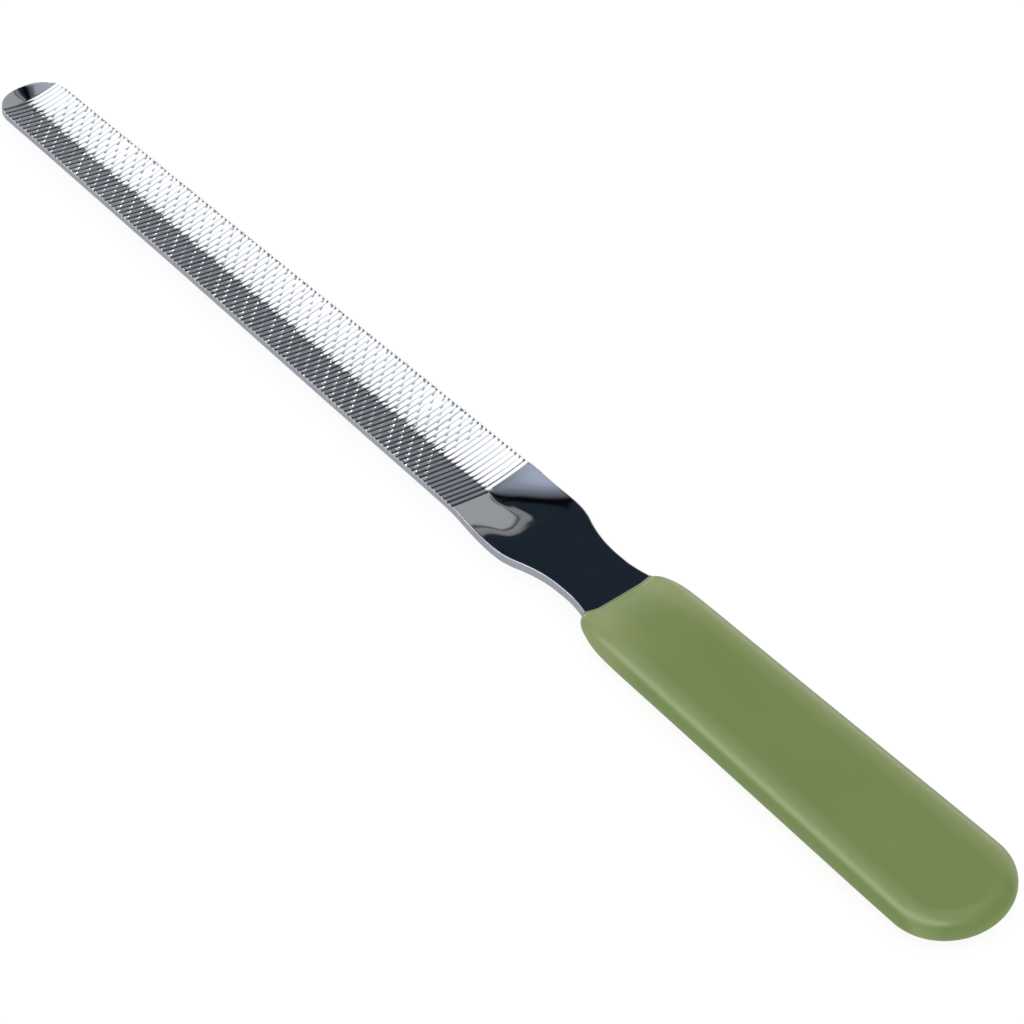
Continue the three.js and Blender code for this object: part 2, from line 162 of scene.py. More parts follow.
def blank_top(station, y):
    """Top face without teeth: a soft-creased channel that twists out into the neck."""
    station, y = np.asarray(station, float), np.asarray(y, float)
    half = blank_half(station)
    twist = smooth((station - CHANNEL_END) / 2.4)
    crease = crease_at(station)
    # 0 on the crease, 1 on either edge
    flank = np.where(y > crease, (y - crease) / (half - crease), (crease - y) / (half + crease))
    square = flank * flank
    blur = 0.02 + 0.9 * twist
    near = smooth((y - crease + blur) / (2 * blur))          # 1 on the +Y flank

    # section of the channel: from a rounded crease each flank is part straight, part curved
    tip_soft = 0.10 * (1 - smooth((station - 1) / 6))
    soft = lerp(0.035 + tip_soft + 0.04 * cut_zone(station), 0.371, twist)
    rise = np.sqrt(square + soft * soft) - soft
    crown = np.sqrt(1 + soft * soft) - soft
    straight = lerp(lerp(0.50, 0.90, near), lerp(0.0, 1.2, near), twist)
    straight = straight * smooth((station + 2.6) / 4.4)
    depth = 1 - (straight * rise / crown + (1 - straight) * square)

    # the channel runs out along a curved front that differs on the two flanks
    near_shift = 4.446 * rise - 5.0 * square + 2.2 * np.clip((flank - 0.55) / 0.45, 0, 1) ** 2
    shift = lerp(5.853 * rise - 0.53 * square, near_shift, near)
    run_length = np.maximum(1.5, 10.59 + lerp(-6.0, -1.365, near) * rise)
    run = smooth((station - CHANNEL_END - shift) / run_length)
    edge_drop = smooth((station - 99.5) / 10.41)

    sag = lerp(SAG_TIP, SAG_HEEL, np.clip(station / CHANNEL_END, 0, 1))
    sag = lerp(sag, SAG_NECK, smooth((station - CHANNEL_END) / 3.4))
    sag = sag * (1 - 0.15 * (1 - smooth((station - TIP) / 5)))
    dimple = 0.016 * np.exp(-((y + 0.6) / 1.1) ** 2 - ((station - 107.6) / 1.7) ** 2)
    return (EDGE_Z - sag * depth * (1 - run) - NECK_DROP * run
            - NECK_DROP * edge_drop * (1 - depth) * (1 - run) - dimple)


def blank_thick(station):
    run_out = smooth((station - CHANNEL_END) / (NECK_START - CHANNEL_END))
    return BLADE_THICK + (NECK_THICK - BLADE_THICK) * run_out


def tooth_depth(station, y):
    tooth = np.clip(np.floor(station / PITCH).astype(int), -1, TEETH)
    part = station / PITCH - tooth
    vary = 1 + (TOOTH_VARY[tooth] - 1) * np.clip(part / 0.6, 0, 1)
    depth = np.interp(part, TOOTH_PART, TOOTH_DEPTH) * vary
    depth = depth * (1 + TIP_DEEPER - TIP_DEEPER * station / CUT_END)
    lead = np.interp(1 - LEAD_IN / PITCH, TOOTH_PART, TOOTH_DEPTH)
    depth = np.where(tooth < 0, np.maximum(0.0, depth - lead * (1 + TIP_DEEPER)), depth)
    # the caps bite on the -Y half only
    cap = np.where(tooth < 0, LEAD_CAP, FULL_CAP)
    cap = np.where(tooth == TEETH - 2, SECOND_LAST_CAP, cap)
    cap = np.where(tooth >= TEETH - 1, LAST_CAP, cap)
    depth = np.minimum(depth, cap + (FULL_CAP - cap) * band(y, -0.5, 1.5))
    return np.where((station >= -LEAD_IN) & (station <= CUT_END), depth, 0.0)


def cross_depth(station, y):
    """Slanting V grooves with one steeper wall, coarser than the teeth, that nick their crests."""
    turn = (station - CROSS_TAN * y) / CROSS_STEP - CROSS_PHASE
    groove = np.round(turn)
    dist = (turn - groove) * CROSS_STEP / math.hypot(1.0, CROSS_TAN)
    vary = CROSS_VARY[np.clip(groove.astype(int) + 6, 0, 79)]
    bold = band(y, CREASE - 0.9, CREASE + 0.3)               # bolder on the +Y flank
    depth = CROSS_DEPTH * np.clip(vary, 0.75, 1.2) * lerp(0.56, 0.95, bold)
    back_wall, front_wall = lerp(0.19, 0.31, bold), lerp(0.24, 0.42, bold)
    depth = depth * np.clip(1 - np.where(dist > 0, dist / back_wall, -dist / front_wall), 0, 1)
    # first and last tooth reached, which change across the blade
    across = y / blank_half(station)
    first = lerp(3.6, 0.9, band(across, -0.25, 0.25))
    last = TEETH - np.interp(across, [-1, 0, 1], [9.0, 11.0, 6.0])
    tooth = station / PITCH
    return depth * band(tooth, first, first + 1.6) * (1 - band(tooth, last - 1.2, last))


def blade_z(station, y):
    return blank_top(station, y) - np.maximum(tooth_depth(station, y), cross_depth(station, y))


# ------------------------------------------------------------------ mesh helpers
def mesh_from(name, verts, quads):
    mesh = bpy.data.meshes.new(name)
    verts = np.asarray(verts, float) / 1000.0
    quads = np.asarray(quads, np.int32)
    mesh.vertices.add(len(verts))
    mesh.vertices.foreach_set("co", verts.astype(np.float32).ravel())
    mesh.loops.add(quads.size)
    mesh.loops.foreach_set("vertex_index", quads.ravel())
    mesh.polygons.add(len(quads))
    mesh.polygons.foreach_set("loop_start", np.arange(0, quads.size, 4, dtype=np.int32))
    mesh.update(calc_edges=True)
    mesh.validate(verbose=False)
    obj = bpy.data.objects.new(name, mesh)
    bpy.context.scene.collection.objects.link(obj)
    return obj


def ring_mesh(name, rings):
    """Skin over closed rings that all have the same number of points."""
    rings = np.asarray(rings, float)
    index = np.arange(rings.shape[0] * rings.shape[1]).reshape(rings.shape[:2])
    following = np.roll(index, -1, axis=1)
    quads = np.stack([index[:-1], following[:-1], following[1:], index[1:]], -1)
    return mesh_from(name, rings.reshape(-1, 3), quads.reshape(-1, 4))


def finish_skin(obj, sharp_angle):
    """Weld rings that shrink to a line, face the skin outward and shade it smooth."""
    mesh = obj.data
    work = bmesh.new()
    work.from_mesh(mesh)
    bmesh.ops.remove_doubles(work, verts=work.verts, dist=2e-6)
    bmesh.ops.dissolve_degenerate(work, edges=work.edges, dist=1e-7)
    loose = [vert for vert in work.verts if not vert.link_faces]
    if loose:
        bmesh.ops.delete(work, geom=loose, context="VERTS")
    bmesh.ops.recalc_face_normals(work, faces=work.faces)
    if work.calc_volume(signed=True) < 0:
        bmesh.ops.reverse_faces(work, faces=work.faces)
    work.to_mesh(mesh)
    work.free()
    mesh.update()
    mesh.polygons.foreach_set("use_smooth", np.ones(len(mesh.polygons), bool))
    mesh.set_sharp_from_angle(angle=math.radians(sharp_angle))
    mesh.update()


def vertices_of(obj):
    coords = np.zeros(len(obj.data.vertices) * 3, np.float32)
    obj.data.vertices.foreach_get("co", coords)
    return coords.reshape(-1, 3) * 1000.0


def lean(obj):
    coords = vertices_of(obj)
    coords[:, 1] += LEAN * np.maximum(0.0, X_ORIGIN - coords[:, 0] - LIP)
    obj.data.vertices.foreach_set("co", (coords / 1000.0).astype(np.float32).ravel())
    obj.data.update()


def strip(x, y, z):
    return np.stack(np.broadcast_arrays(x, y, z), -1)


# A row is (station, half width, outline normal along the stations, outline normal across).
def unit_row(station, half, normal_s, normal_y):
    length = math.hypot(normal_s, normal_y)
    return station, half, normal_s / length, normal_y / length


def slope_at(curve, station, step):
    return (float(curve(station + step)) - float(curve(station - step))) / (2 * step)


def blank_row(station):
    return unit_row(station, float(blank_half(station)), -slope_at(blank_half, station, 0.05), 1.0)


def tip_row(station, angle):
    return unit_row(station, TIP_HALF * math.sin(angle),
                    -math.cos(angle) / TIP_REACH, math.sin(angle) / TIP_HALF)


def end_row(centre, reach, half, angle):
    return unit_row(centre + reach * math.sin(angle), half * math.cos(angle),
                    math.sin(angle) / reach, math.cos(angle) / half)


# ------------------------------------------------------------------ steel blank
TOP_POINTS, BACK_POINTS = 111, 13
TOP_ROUND, BACK_ROUND = 0.11, 0.20            # edge radii
TOP_ANGLES = (0.5, 1.0, math.pi / 2)
BACK_ANGLES = (math.pi / 2, 1.15, 0.75, 0.35)
WALL_POINTS = len(TOP_ANGLES) + len(BACK_ANGLES)
PLATE_SLOT, TEETH_SLOT, SIDE_SLOT, BACK_SLOT = range(4)


def blank_rows():
    lead_angle = math.acos((TIP_CENTRE + LEAD_IN) / TIP_REACH)
    rows = [tip_row(TIP_CENTRE - TIP_REACH * math.cos(angle), angle)
            for angle in np.linspace(0.0, lead_angle - 0.003, 34)]
    stations = [(part - 1) * PITCH for part in TOOTH_PART if -LEAD_IN < (part - 1) * PITCH < 0]
    stations += [(k + part) * PITCH for k in range(TEETH) for part in TOOTH_PART[:-1]]
    stations += [-LEAD_IN, 0.002, CUT_END]
    stations += list(np.arange(CUT_END + 0.18, LIP + 2.0, 0.30))
    stations += list(np.arange(LIP + 2.2, 137.0, 0.8))
    stations += list(np.linspace(138.0, TANG_CENTRE, 16))
    for station in sorted(stations):
        if station <= TIP_CENTRE:
            rows.append(tip_row(station, math.acos((TIP_CENTRE - station) / TIP_REACH)))
        else:
            rows.append(blank_row(station))
    rows += [end_row(TANG_CENTRE, TANG_REACH, TANG_HALF, angle)
             for angle in np.linspace(0.10, math.pi / 2, 14)]
    return rows


def blank_wall(row, sign):
    """Side wall from top to bottom with both edges rounded; sign picks +Y or -Y."""
    station, half, normal_s, normal_y = row
    plain_z = float(blank_top(station, half))
    top_z = plain_z - float(tooth_depth(station, sign * half))
    back_z = plain_z - float(blank_thick(station))
    points = []
    for radius, angles, edge_z, turn in ((TOP_ROUND, TOP_ANGLES, top_z, -1),
                                         (BACK_ROUND, BACK_ANGLES, back_z, 1)):
        for angle in angles:
            inset = radius * (1 - math.sin(angle))
            points.append([x_at(station - normal_s * inset),
                           sign * max(0.0, half - normal_y * inset),
                           edge_z + turn * radius * (1 - math.cos(angle))])
    return points


def blank_ring(row):
    station, half, normal_s, normal_y = row
    top_s, back_s = station - normal_s * TOP_ROUND, station - normal_s * BACK_ROUND
    top_y = np.linspace(-1, 1, TOP_POINTS) * max(0.0, half - normal_y * TOP_ROUND)
    back_y = np.linspace(1, -1, BACK_POINTS) * max(0.0, half - normal_y * BACK_ROUND)
    back_z = blank_top(back_s, back_y) - blank_thick(back_s)
    return np.concatenate([
        strip(x_at(top_s), top_y, blade_z(top_s, top_y)), blank_wall(row, 1),
        strip(x_at(back_s), back_y, back_z), blank_wall(row, -1)[::-1]])


def blank_slots(rows):
    """Material slot of every face, ring by ring."""
    first_back = TOP_POINTS + WALL_POINTS - 1
    around = np.full(TOP_POINTS + BACK_POINTS + 2 * WALL_POINTS, SIDE_SLOT, np.int32)
    around[:TOP_POINTS - 1] = PLATE_SLOT
    around[first_back:first_back + BACK_POINTS] = BACK_SLOT
    slots = np.tile(around, (len(rows) - 1, 1))
    stations = np.array([row[0] for row in rows])
    middle = (stations[:-1] + stations[1:]) / 2
    slots[(middle > -LEAD_IN) & (middle < CUT_END), :TOP_POINTS - 1] = TEETH_SLOT
    return slots.ravel()


def notch_shade_at(coords):
    """How dark the painted shade makes each point: it lies in the notches and at their ends."""
    station, y, z = X_ORIGIN - coords[:, 0], coords[:, 1], coords[:, 2]
    half = blank_half(station)
    below = blank_top(station, y) - z
    top = (below < 0.44) & (station > -LEAD_IN) & (station < CUT_END + 0.05)
    cut = tooth_depth(station, y)
    in_notch = top & (cut >= cross_depth(station, y) - 0.004)
    notch = np.where(in_notch, np.clip(cut, 0, 0.3) / 0.3, 0.0)
    across = y / half
    away = np.clip((crease_at(station) - y) / half, -1, 2)   # 0 on the crease, grows to -Y
    # on the -Y flank the painted shade tapers away from the crease
    stroke = np.clip(away / 0.30, 0, 1) ** 0.7
    far = band(notch, 0.10 + 0.74 * stroke, 0.28 + 0.74 * stroke) * (1 - 0.85 * stroke)
    near = lerp(0.74, 0.34, np.clip(-away / 0.22, 0, 1)) * band(notch, 0.40, 0.90)
    side = band(away, -0.05, 0.03)
    edges = np.clip(band(-across, 0.925, 0.955) + 0.3 * band(across, 0.93, 0.97), 0, 1)
    return np.clip(near + (far - near) * side + band(notch, 0.22, 0.60) * edges, 0, 1)


def build_blank():
    rows = blank_rows()
    obj = ring_mesh("blade_blank", [blank_ring(row) for row in rows])
    obj.data.polygons.foreach_set("material_index", blank_slots(rows))
    finish_skin(obj, sharp_angle=28)
    # painted shade in the notches, stored per point for the teeth material
    painted_notch_shade = obj.data.attributes.new("painted_notch_shade", "FLOAT", "POINT")
    painted_notch_shade.data.foreach_set("value", np.asarray(notch_shade_at(vertices_of(obj)), np.float32))
    return obj


# ------------------------------------------------------------------ dipped grip
FLAT_POINTS, SIDE_POINTS = 33, 27
SIDE_ANGLES = np.linspace(math.pi / 2, -math.pi / 2, SIDE_POINTS)
# distances behind the lip of the first rings
LIP_STEPS = [0.0, 0.06, 0.14, 0.24, 0.36, 0.50, 0.68, 0.90, 1.15, 1.45, 1.8, 2.2,
             2.7, 3.2, 3.8, 4.4, 5.0, 5.8, 6.6, 7.4, 8.2, 9.0, 10.0]


def grip_rows():
    rows = []
    stations = [LIP + step for step in LIP_STEPS]
    for station in stations + list(np.arange(138.4, GRIP_CENTRE, 1.3)) + [GRIP_CENTRE]:
        slope = slope_at(grip_half, max(station, LIP + 0.04), 0.04)
        ease = 1 - band(station, 188.0, GRIP_CENTRE)
        rows.append(unit_row(station, float(grip_half(station)), -slope * ease, 1.0))
    rows += [end_row(GRIP_CENTRE, BUTT - GRIP_CENTRE, GRIP_HALF, angle)
             for angle in np.linspace(0, math.pi / 2, 34)[1:]]
    return rows


def swell(station):
    """0 at the lip, 1 where the grip has its full thickness."""
    part = np.clip((station - LIP) / GRIP_RAMP, 0, 1) * 0.5 + 0.5
    return np.power(np.maximum(part * part * (3 - 2 * part) * 2 - 1, 0), 0.8)


def lip_shift(station, y):
    """The lip runs a little forward at the edges of the neck, more at +Y."""
    edges = -0.30 * band(np.abs(y), 3.2, 6.4) - 0.35 * band(y, 3.8, 6.4)
    return edges * (1 - band(station, LIP, LIP + LIP_BLEND))


def closed_ring(side):
    """Close the +Y side points, given top to bottom, with flat strips and a mirrored side."""
    side = np.array(side)
    station, half, top_z = side[0]
    flat_y = np.linspace(-1, 1, FLAT_POINTS)[1:-1] * half
    return np.concatenate([side, strip(station, flat_y[::-1], side[-1, 2]),
                           side[::-1] * (1, -1, 1), strip(station, flat_y, top_z)])


def grip_ring(row):
    station, half, normal_s, normal_y = row
    full = float(swell(station))
    bead = math.sqrt(max(0.0, 1 - (1 - min(1.0, (station - LIP) / BEAD_LENGTH)) ** 2))
    top_z = lerp(NECK_TOP + GAP + LIP_HEIGHT * bead, GRIP_TOP, full)
    low_z = lerp(NECK_BOTTOM - GAP - LIP_HEIGHT * bead, 0.0, full)
    mid_z = lerp((NECK_TOP + NECK_BOTTOM) / 2, GRIP_TOP / 2, full)
    reach = lerp(LIP_ROUND, GRIP_ROUND, full)
    if station < LIP + 0.30:
        half = min(half, lerp(float(blank_half(station)) + GAP, half, bead))
    side = []
    for angle in SIDE_ANGLES:
        inset = reach * (1 - math.cos(angle))
        tall = top_z - mid_z if angle >= 0 else mid_z - low_z
        side.append([station - normal_s * inset, max(0.0, half - normal_y * inset),
                     mid_z + tall * math.sin(angle)])
    return closed_ring(side)


def grip_outside():
    rings = np.array([grip_ring(row) for row in grip_rows()])
    station, y, z = rings[..., 0], rings[..., 1], rings[..., 2]
    # gentle crown and slight waviness, on the upper face only
    upper = band(z, GRIP_TOP * 0.62, GRIP_TOP)
    wave = (0.020 * np.sin(station / 9.3 + 0.7) * np.cos(y / 6.1)
            + 0.014 * np.sin(station / 4.1 + y / 3.3 + 1.9)
            + 0.010 * np.sin(station / 2.6 - y / 2.2))
    inner = 1 - band(np.abs(y) / grip_half(station), 0.35, 0.95)
    ends = band(station, LIP + 2, LIP + 12) * (1 - band(station, BUTT - 14, BUTT - 4))
    rings[..., 2] = (z - upper * (0.05 - 0.05 * inner * ends)
                     + upper * wave * 0.8 * inner * ends)
    rings[..., 0] = x_at(station + lip_shift(station, y))
    return rings


def grip_pocket():
    """Inside skin that holds the tang, with as many points round as the outside."""
    corner, taper = 1.1, 0.02                 # past the corner angle the side turns flat
    stations = list(np.linspace(LIP + 0.02, 137.0, 26)) + list(np.linspace(139.0, TANG_CENTRE, 14))
    rows = [blank_row(station) for station in stations]
    rows += [end_row(TANG_CENTRE, TANG_REACH, TANG_HALF, angle)
             for angle in np.linspace(0, math.pi / 2, 15)[1:]]
    rings = []
    for i, (station, half, normal_s, normal_y) in enumerate(rows):
        wide = max(0.0, half + normal_y * GAP) if i < len(rows) - 1 else 0.0
        side = []
        for angle in SIDE_ANGLES:
            height = min(1.0, max(0.0, (angle + corner) / (2 * corner)))
            side.append([station + normal_s * GAP,
                         max(0.0, wide - max(0.0, abs(angle) - corner) * taper),
                         lerp(NECK_BOTTOM - GAP, NECK_TOP + GAP, height)])
        rings.append(closed_ring(side))
    rings = np.array(rings)
    station, y = rings[..., 0], rings[..., 1]
    shifted = station + lip_shift(station, y)
    # where the lip runs forward the neck is narrower, so the pocket's mouth closes in on it
    limit = np.where(station < LIP + LIP_BLEND, blank_half(shifted) + GAP, 99.0)
    rings[..., 1] = np.clip(y, -limit, limit)
    rings[..., 0] = x_at(shifted)
    return rings


def build_grip():
    obj = ring_mesh("grip_skin", np.concatenate([grip_pocket()[::-1], grip_outside()]))
    finish_skin(obj, sharp_angle=50)
    return obj


blade = build_blank()
grip = build_grip()
lean(blade)
lean(grip)


# ------------------------------------------------------------------ node helpers
class Net:
    """Emptied node tree of a material or world, with its output node."""

    def __init__(self, owner, output="ShaderNodeOutputMaterial"):
        owner.use_nodes = True
        self.tree = owner.node_tree
        self.tree.nodes.clear()
        self.surface = self.node(output).inputs[0]

    def node(self, kind, **props):
        node = self.tree.nodes.new(kind)
        for name, value in props.items():
            setattr(node, name, value)
        return node

    def put(self, socket, value):
        if isinstance(value, bpy.types.NodeSocket):
            self.tree.links.new(value, socket)
        else:
            socket.default_value = value

    def math(self, operation, *values):
        node = self.node("ShaderNodeMath", operation=operation)
        for i, value in enumerate(values):
            self.put(node.inputs[i], value)
        return node.outputs[0]

    def step(self, value, over, onto=(0.0, 1.0), kind="SMOOTHSTEP"):
        """Map the range `over` to the range `onto`, clamped."""
        node = self.node("ShaderNodeMapRange", interpolation_type=kind, clamp=True)
        self.put(node.inputs["Value"], value)
        for name, number in zip(("From Min", "From Max", "To Min", "To Max"), (*over, *onto)):
            node.inputs[name].default_value = number
        return node.outputs["Result"]

    def mix(self, factor, first, second):
        node = self.node("ShaderNodeMix", data_type="RGBA", blend_type="MIX")
        self.put(node.inputs[0], factor)
        self.put(node.inputs[6], first)
        self.put(node.inputs[7], second)
        return node.outputs[2]

    def noise(self, vector, scale, detail=2.0, rough=0.5):
        node = self.node("ShaderNodeTexNoise")
        node.inputs["Scale"].default_value = scale
        node.inputs["Detail"].default_value = detail
        node.inputs["Roughness"].default_value = rough
        self.put(node.inputs["Vector"], vector)
        return node.outputs["Fac"]

    def mapping(self, vector, scale, turn=0.0):
        node = self.node("ShaderNodeMapping")
        self.put(node.inputs["Vector"], vector)
        node.inputs["Scale"].default_value = scale
        node.inputs["Rotation"].default_value = (0, 0, turn)
        return node.outputs[0]

    def bump(self, height, strength, distance):
        node = self.node("ShaderNodeBump")
        node.inputs["Strength"].default_value = strength
        node.inputs["Distance"].default_value = distance
        self.put(node.inputs["Height"], height)
        return node.outputs[0]

    def coord(self, kind="Object"):
        return self.node("ShaderNodeTexCoord").outputs[kind]

    def split(self, vector):
        node = self.node("ShaderNodeSeparateXYZ")
        self.put(node.inputs[0], vector)
        return node.outputs


def rgb(red, green, blue):
    return (red, green, blue, 1.0)


def principled(name):
    mat = bpy.data.materials.new(name)
    net = Net(mat)
    bsdf = net.node("ShaderNodeBsdfPrincipled")
    net.put(net.surface, bsdf.outputs[0])
    return mat, net, bsdf.inputs


# ------------------------------------------------------------------ plated steel
# near-black painted shade laid into the tooth notches
NOTCH_SHADE_COLOUR = rgb(0.022, 0.022, 0.026)
PLATES = (
    # name, colour, roughness range, scratch roughness, ripple height (m), strength of the painted
    # notch shade
    ("plate_smooth", (0.80, 0.81, 0.83), (0.025, 0.050), 0.02, 0.000004, 0.0),
    ("plate_teeth", (0.80, 0.81, 0.83), (0.09, 0.14), 0.04, 0.000004, 0.9),
    ("plate_sheared_edge", (0.63, 0.64, 0.67), (0.32, 0.42), 0.08, 0.000020, 0.0),
    ("plate_back", (0.78, 0.79, 0.81), (0.07, 0.13), 0.05, 0.000012, 0.0))


def plated(name, base, rough, scratch, ripple, shade_strength):
    """Bright plate: fine scratches two ways, soft smudges, dark specks and a faint ripple."""
    mat, net, inputs = principled(name)
    place = net.coord()
    fine = net.noise(net.mapping(place, (180, 2600, 900)), scale=1.0, detail=3.0, rough=0.6)
    slanted = net.noise(net.mapping(place, (2300, 420, 700), turn=0.6), scale=1.0)
    clouds = net.noise(place, scale=130.0, detail=4.0, rough=0.62)
    specks = net.noise(place, scale=2600.0)
    scratches = net.math("ADD", net.step(fine, over=(0.50, 0.72), onto=(0.0, scratch)),
                         net.step(slanted, over=(0.60, 0.78), onto=(0.0, scratch * 0.7)))
    smudges = net.step(clouds, over=(0.35, 0.75), onto=rough)
    net.put(inputs["Roughness"], net.math("ADD", scratches, smudges))

    tint = rgb(*base)
    for darken, pattern, over, most in ((0.93, clouds, (0.3, 0.8), 0.5),
                                        (0.80, specks, (0.70, 0.80), 0.25)):
        tint = net.mix(net.step(pattern, over, onto=(0.0, most)), tint,
                       rgb(*(darken * channel for channel in base)))
    # painted shade: the notch attribute darkens the base colour toward near-black
    if shade_strength:
        painted_notch_shade = net.node("ShaderNodeAttribute", attribute_name="painted_notch_shade").outputs["Fac"]
        tint = net.mix(net.math("MULTIPLY", painted_notch_shade, shade_strength), tint, NOTCH_SHADE_COLOUR)
    net.put(inputs["Base Color"], tint)
    inputs["Metallic"].default_value = 1.0
    height = net.math("ADD", net.noise(place, scale=260.0), net.math("MULTIPLY", fine, 0.10))
    net.put(inputs["Normal"], net.bump(height, strength=0.35, distance=ripple))
    return mat


for plate in PLATES:
    blade.data.materials.append(plated(*plate))


# ------------------------------------------------------------------ soft vinyl
GRIP_TAPER = 0.0201                           # growth of the half width per mm toward the butt
VINYL = {
    "Subsurface Weight": 0.0, "Subsurface Radius": (0.9, 1.0, 0.45), "Subsurface Scale": 0.0010,
    "IOR": 1.46, "Coat Weight": 0.08, "Coat Roughness": 0.16}


def soft_vinyl():
    """Glossy green skin with painted light: a painted highlight toward the lip and painted highlight
    and reflection along both narrow margins. Places in metres.
    """
    mat, net, inputs = principled("soft_vinyl")
    place = net.coord()
    x, y, _ = net.split(place)
    # across the grip, measured from its own leaning centre line
    across = net.math("ADD", y, net.math("MULTIPLY_ADD", x, LEAN, -LEAN * x_at(LIP) / 1000))
    # painted highlight: paler toward the lip, and paler still on the shoulders there, as light on
    # the swelling grip
    front = net.step(x, over=(x_at(LIP + 15) / 1000, x_at(LIP + 2.0) / 1000))
    shoulder_highlight = net.step(net.math("ABSOLUTE", across), over=(0.0010, 0.0066))
    shoulder_highlight = net.math("MULTIPLY", front, shoulder_highlight)
    mottle = net.noise(net.mapping(place, (0.6, 1.0, 1.0)), scale=150.0, detail=4.0)
    blotch = net.noise(place, scale=420.0, detail=3.0, rough=0.55)
    body = net.mix(net.step(mottle, over=(0.30, 0.70)),
                   rgb(0.168, 0.239, 0.069), rgb(0.180, 0.247, 0.074))
    body = net.mix(net.math("MULTIPLY", front, 0.26), body, rgb(0.235, 0.300, 0.110))
    shoulder_highlight_tones = net.mix(net.step(blotch, over=(0.35, 0.65)),
                       rgb(0.330, 0.350, 0.148), rgb(0.300, 0.335, 0.140))
    body = net.mix(net.math("MULTIPLY", shoulder_highlight, 0.60), body, shoulder_highlight_tones)

    # margins, as painted light: a painted reflection along the -Y edge and a painted highlight
    # inside the +Y edge; distance in from the -Y edge, then from the +Y edge
    half = net.math("MULTIPLY_ADD", x, -GRIP_TAPER,
                    (GRIP_HALF - GRIP_TAPER * (GRIP_CENTRE - X_ORIGIN)) / 1000)
    far_gap = net.math("ADD", half, across)
    far_rim_reflection = net.step(far_gap, over=(0.0048, 0.0023), kind="LINEAR")
    body = net.mix(net.math("MULTIPLY", far_rim_reflection, 0.66), body, rgb(0.262, 0.312, 0.130))
    near_gap = net.math("SUBTRACT", half, across)
    near_rim_highlight = net.math("MULTIPLY", net.step(near_gap, over=(0.0034, 0.0010), kind="LINEAR"),
                        net.step(near_gap, over=(0.0002, 0.0009)))
    body = net.mix(net.math("MULTIPLY", near_rim_highlight, 0.85), body, rgb(0.236, 0.300, 0.122))

    net.put(inputs["Base Color"], body)
    sheen = net.noise(place, scale=240.0, detail=3.0, rough=0.6)
    net.put(inputs["Roughness"], net.step(sheen, over=(0.3, 0.75), onto=(0.28, 0.35)))
    for name, value in VINYL.items():
        inputs[name].default_value = value
    grain = net.noise(place, scale=380.0, detail=1.0)
    net.put(inputs["Normal"], net.bump(grain, strength=0.20, distance=0.00003))
    return mat


grip.data.materials.append(soft_vinyl())


# ------------------------------------------------------------------ floor
FLOOR_HALF, FLOOR_Z = 3000.0, -0.02
FLOOR_SEEN, FLOOR_IN_GLOSS = rgb(0.89, 0.89, 0.89), rgb(0.36, 0.37, 0.41)


def build_floor():
    """Diffuse floor with a glow of its own, dimmer where it shows in reflections."""
    corners = [[x, y, FLOOR_Z] for y in (-FLOOR_HALF, FLOOR_HALF) for x in (-FLOOR_HALF, FLOOR_HALF)]
    obj = mesh_from("studio_floor", corners, [[0, 1, 3, 2]])
    mat = bpy.data.materials.new("pale_floor")
    net = Net(mat)
    clouds = net.noise(net.coord(), scale=30.0, detail=3.0)
    cloth = net.node("ShaderNodeBsdfDiffuse")
    net.put(cloth.inputs["Color"], net.mix(clouds, rgb(0.13, 0.13, 0.13), rgb(0.14, 0.14, 0.14)))
    glow = net.node("ShaderNodeEmission")
    path = net.node("ShaderNodeLightPath")
    seen = net.mix(path.outputs["Is Glossy Ray"], FLOOR_SEEN, FLOOR_IN_GLOSS)
    net.put(glow.inputs["Color"], seen)
    both = net.node("ShaderNodeAddShader")
    net.put(both.inputs[0], cloth.outputs[0])
    net.put(both.inputs[1], glow.outputs[0])
    net.put(net.surface, both.outputs[0])
    obj.data.materials.append(mat)


build_floor()


# ------------------------------------------------------------------ soft studio surround
# The tables below list angles in degrees from the zenith, positive toward -Y.
def grey(level, blue=1.0):
    return (level, level * (1 + 0.10 * blue), level * (1 + 0.24 * blue), 1.0)


def greys(*stops):
    """Stops of (angle, level, blueness)."""
    return [(angle, grey(level, blue)) for angle, level, blue in stops]


# the broad panel, graded toward its edge, as the heel and as the tip see it
HEEL_GRADE = [(angle, (level, level * 1.115, level * 1.38, 1.0)) for angle, level in (
    (-90, 0.34), (8, 0.42), (12, 0.37), (16, 0.29), (20, 0.235), (23.5, 0.175),
    (26.5, 0.14), (29, 0.10), (31, 0.06), (32.5, 0.016))]
TIP_GRADE = greys((-90, 0.34, 1), (8, 0.44, 1), (24, 0.36, 1), (31, 0.20, 1), (32.5, 0.10, 1))
NAVY = (0.0145, 0.022, 0.033, 1)
FAR_PANELS = greys((42.3, 0.27, 0.1), (42.7, 0.05, 0.1), (43.2, 0.05, 0.1), (43.8, 0.36, 0.3),
                   (66, 0.38, 0.3), (76, 1.3, 0.1), (90, 1.5, 0.1))
# the smooth plate's view by X of the direction: grade, end of the dark gap, start of far panels
FIRST_VIEW = (HEEL_GRADE, 35.4, 39.8)
NEXT_VIEWS = (((0.515, 0.540), (HEEL_GRADE, 37.35, 39.8)),
              ((0.565, 0.600), (HEEL_GRADE, 37.35, 40.25)),
              ((0.605, 0.625), (TIP_GRADE, 37.35, 40.25)))
# overhead box and grey wall, seen by the lands of the teeth
LIT = greys((-50, 0.35, 0), (-38, 1.26, 0), (30, 1.26, 0), (38.0, 0.275, 0.8), (48, 0.25, 0.8),
            (60, 0.205, 0.8), (70, 0.19, 0.8), (90, 0.9, 0.1))
